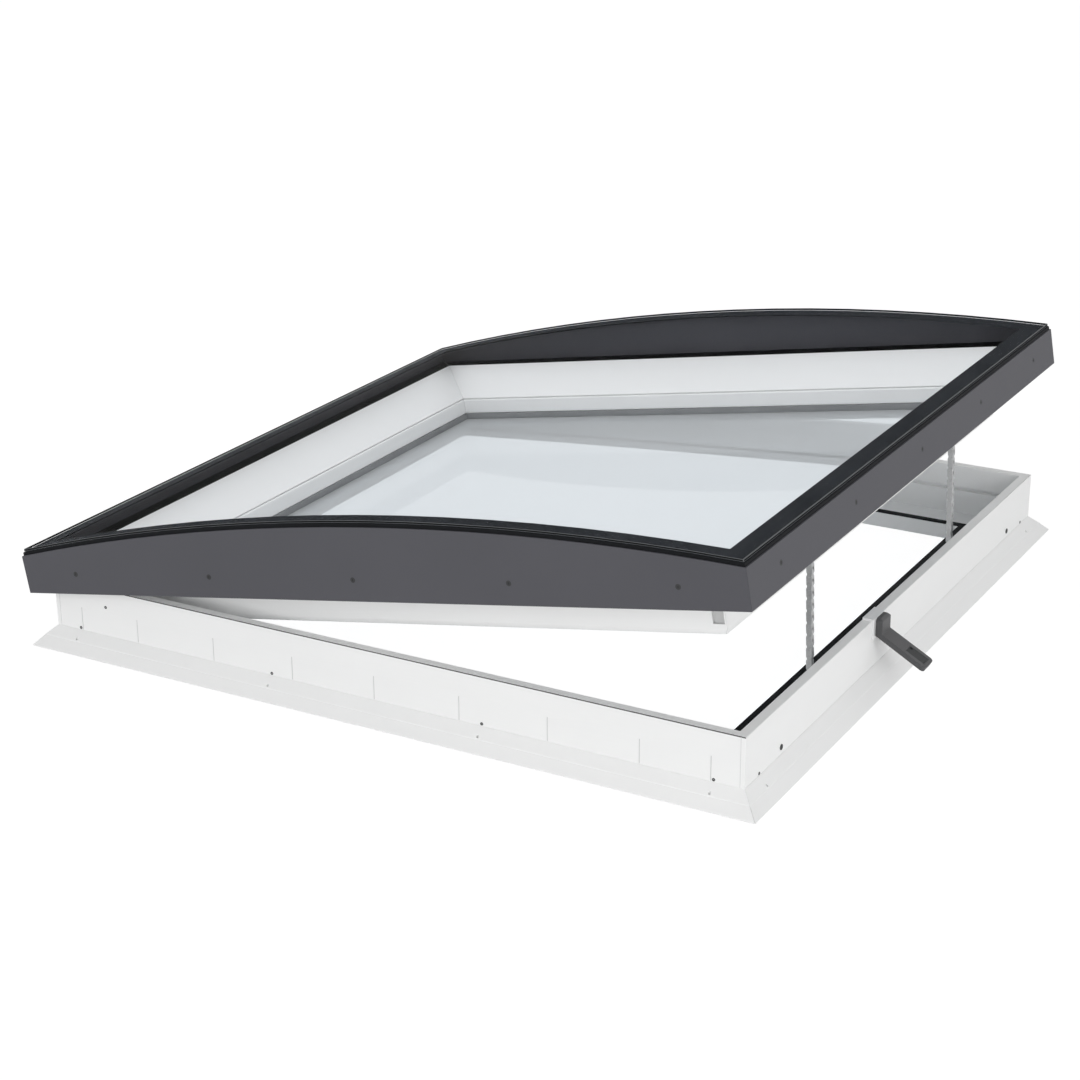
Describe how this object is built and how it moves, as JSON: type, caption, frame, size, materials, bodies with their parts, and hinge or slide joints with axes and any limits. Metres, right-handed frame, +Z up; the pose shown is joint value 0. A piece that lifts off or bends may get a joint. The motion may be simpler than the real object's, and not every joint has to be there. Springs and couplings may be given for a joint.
{
  "type": "roof skylight",
  "caption": "Opening flat-roof skylight: white kerb with roof flange, hinged sash with grey skirt, curved outer glass over flat double glazing, push-chain openers and a rain sensor.",
  "frame": {"origin": "middle of the kerb in plan, on the roof surface under its flange", "axes": "+Z up, +X from the hinged side to the side that opens, +Y to the back"},
  "size_m": [1.8063, 1.724, 0.5176],
  "materials": {
    "white_pvc": "satin white PVC",
    "grey_skirt": "matt grey paint on aluminium",
    "black_rubber": "matt black rubber",
    "grey_gasket": "matt grey rubber",
    "black_print": "black ceramic print",
    "curved_glass": "clear",
    "flat_glass": "clear",
    "spacer_metal": "matt",
    "steel": "zinc plated",
    "drive_housing": "anodised",
    "drive_caps": "matt",
    "clip_metal": "brushed",
    "sensor_plastic": "fine texture",
    "sensor_pad": "smooth"
  },
  "bodies": {
    "kerb": {"kerb_front_rail": "white_pvc", "kerb_back_rail": "white_pvc", "kerb_hinge_rail": "white_pvc", "kerb_opening_rail": "white_pvc", "kerb_seal": "black_rubber", "cable_plugs": "black_rubber", "hinge_kerb_leaves": "steel", "hinge_pins": "steel", "front_chain": "steel", "back_chain": "steel", "front_drive_housing": "drive_housing", "back_drive_housing": "drive_housing", "drive_end_caps": "drive_caps", "sensor_clip": "clip_metal", "sensor_body": "sensor_plastic", "sensor_pad": "sensor_pad"},
    "sash": {"sash_front_rail": "white_pvc", "sash_back_rail": "white_pvc", "sash_hinge_rail": "white_pvc", "sash_opening_rail": "white_pvc", "front_bead": "white_pvc", "back_bead": "white_pvc", "hinge_bead": "white_pvc", "opening_bead": "white_pvc", "front_skirt": "grey_skirt", "back_skirt": "grey_skirt", "hinge_skirt": "grey_skirt", "opening_skirt": "grey_skirt", "skirt_cleats": "grey_skirt", "dome_seal": "black_rubber", "glass_border": "black_print", "curved_glass": "curved_glass", "lower_pane": "flat_glass", "upper_pane": "flat_glass", "pane_spacer": "spacer_metal", "glazing_gasket": "grey_gasket", "hinge_sash_leaves": "steel", "chain_brackets": "steel", "chain_bracket_pins": "steel"}
  },
  "joints": [
    {"name": "sash_hinge", "type": "hinge", "parent": "kerb", "child": "sash", "pos_m": [-0.828, 0, 0.1715], "axis": [0, -1, 0], "range_deg": [-9.9, 0], "deforming": ["front_chain", "back_chain"]}
  ]
}
